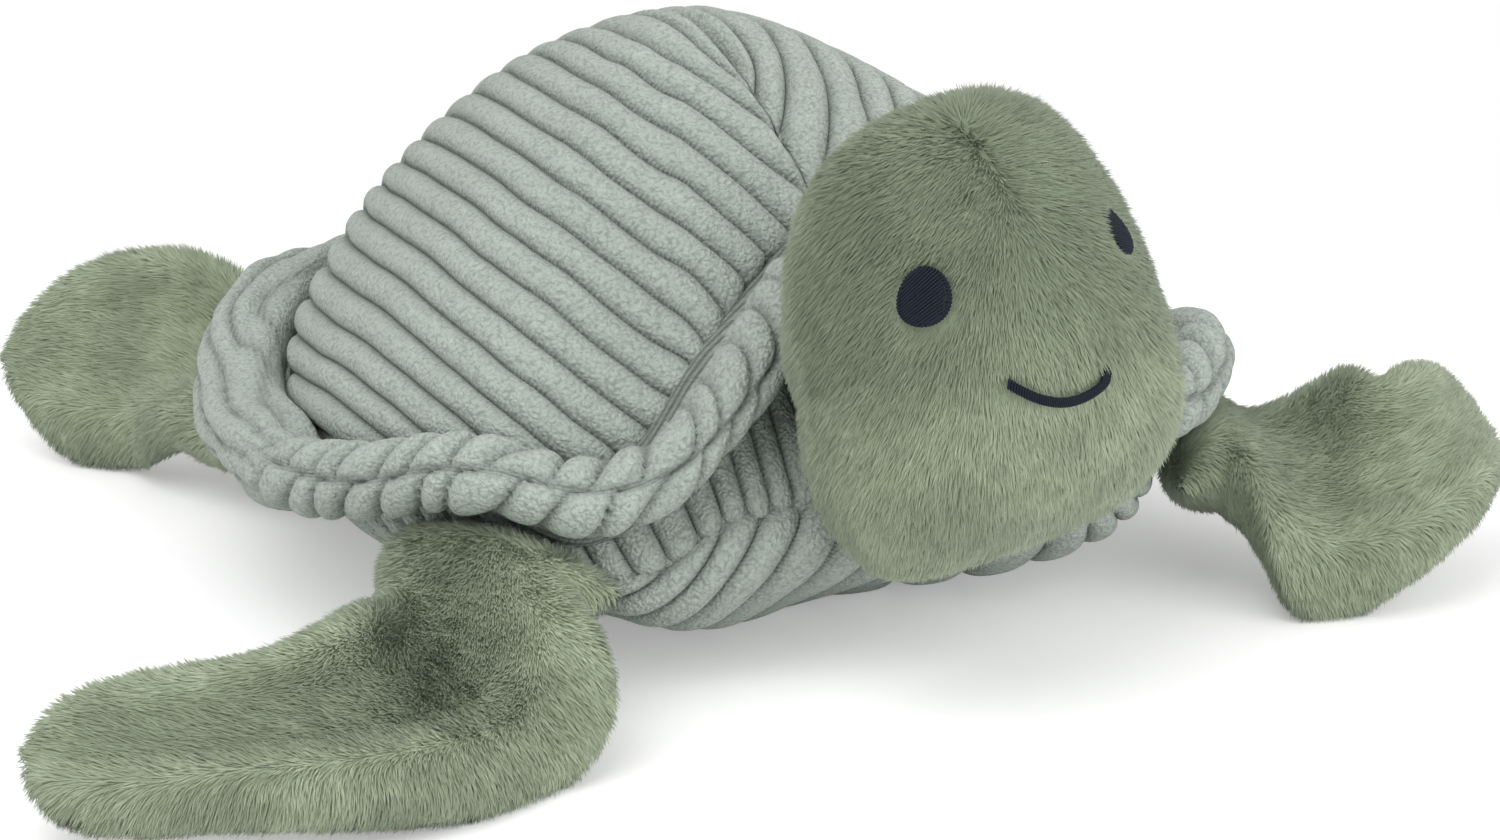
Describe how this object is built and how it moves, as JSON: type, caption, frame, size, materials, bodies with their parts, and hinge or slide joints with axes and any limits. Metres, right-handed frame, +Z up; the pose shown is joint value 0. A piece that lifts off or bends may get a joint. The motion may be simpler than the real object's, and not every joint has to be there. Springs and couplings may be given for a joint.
{
  "type": "plush sea turtle",
  "caption": "Stuffed toy sea turtle lying on its belly, with a wide-ribbed shell, a gathered roll round its edge, a short-pile head and flippers, and stitched eyes and smile.",
  "frame": {"origin": "middle of the flat patch of the belly that the toy rests on, at floor level", "axes": "+Z up, -Y the way the head looks, -X towards the toy's right side"},
  "size_m": [0.4201, 0.3554, 0.1506],
  "materials": {
    "shell_corduroy": "matte",
    "belly_corduroy": "matte",
    "plush_fur": "matte",
    "navy_stitching": "satin",
    "fibre_filling": "matte"
  },
  "bodies": {
    "body": {"shell_cover_right": "shell_corduroy", "shell_cover_left": "shell_corduroy", "side_band_right": "shell_corduroy", "side_band_left": "shell_corduroy", "belly_cover": "belly_corduroy", "body_stuffing": "fibre_filling", "shell_roll": "shell_corduroy", "shell_roll_stuffing": "fibre_filling"},
    "head": {"head_cover_right": "plush_fur", "head_cover_left": "plush_fur", "eye_right": "navy_stitching", "eye_left": "navy_stitching", "head_stuffing": "fibre_filling", "smile_stitch": "navy_stitching"},
    "front_flipper_right": {"front_flipper_top_right": "plush_fur", "front_flipper_base_right": "plush_fur", "front_flipper_stuffing_right": "fibre_filling"},
    "front_flipper_left": {"front_flipper_top_left": "plush_fur", "front_flipper_base_left": "plush_fur", "front_flipper_stuffing_left": "fibre_filling"},
    "rear_flipper_right": {"rear_flipper_top_right": "plush_fur", "rear_flipper_base_right": "plush_fur", "rear_flipper_stuffing_right": "fibre_filling"},
    "rear_flipper_left": {"rear_flipper_top_left": "plush_fur", "rear_flipper_base_left": "plush_fur", "rear_flipper_stuffing_left": "fibre_filling"}
  },
  "joints": [
    {"name": "head_nod", "type": "hinge", "parent": "body", "child": "head", "pos_m": [0, -0.09199, 0.0904], "axis": [0.9848, 0, 0.1736], "range_deg": [-14, 8], "stiffness_Nm_per_rad": 1.2},
    {"name": "front_flap_right", "type": "hinge", "parent": "body", "child": "front_flipper_right", "pos_m": [-0.10912, -0.04303, 0.03174], "axis": [-0.4695, 0.8829, 0], "range_deg": [-30, 15], "stiffness_Nm_per_rad": 0.6},
    {"name": "front_flap_left", "type": "hinge", "parent": "body", "child": "front_flipper_left", "pos_m": [0.10912, -0.04303, 0.03174], "axis": [-0.4695, -0.8829, 0], "range_deg": [-30, 15], "stiffness_Nm_per_rad": 0.6},
    {"name": "rear_flap_right", "type": "hinge", "parent": "body", "child": "rear_flipper_right", "pos_m": [-0.07591, 0.10537, 0.02641], "axis": [0.766, 0.6428, 0], "range_deg": [-25, 6], "stiffness_Nm_per_rad": 0.5},
    {"name": "rear_flap_left", "type": "hinge", "parent": "body", "child": "rear_flipper_left", "pos_m": [0.07591, 0.10537, 0.02641], "axis": [0.766, -0.6428, 0], "range_deg": [-25, 6], "stiffness_Nm_per_rad": 0.5}
  ]
}
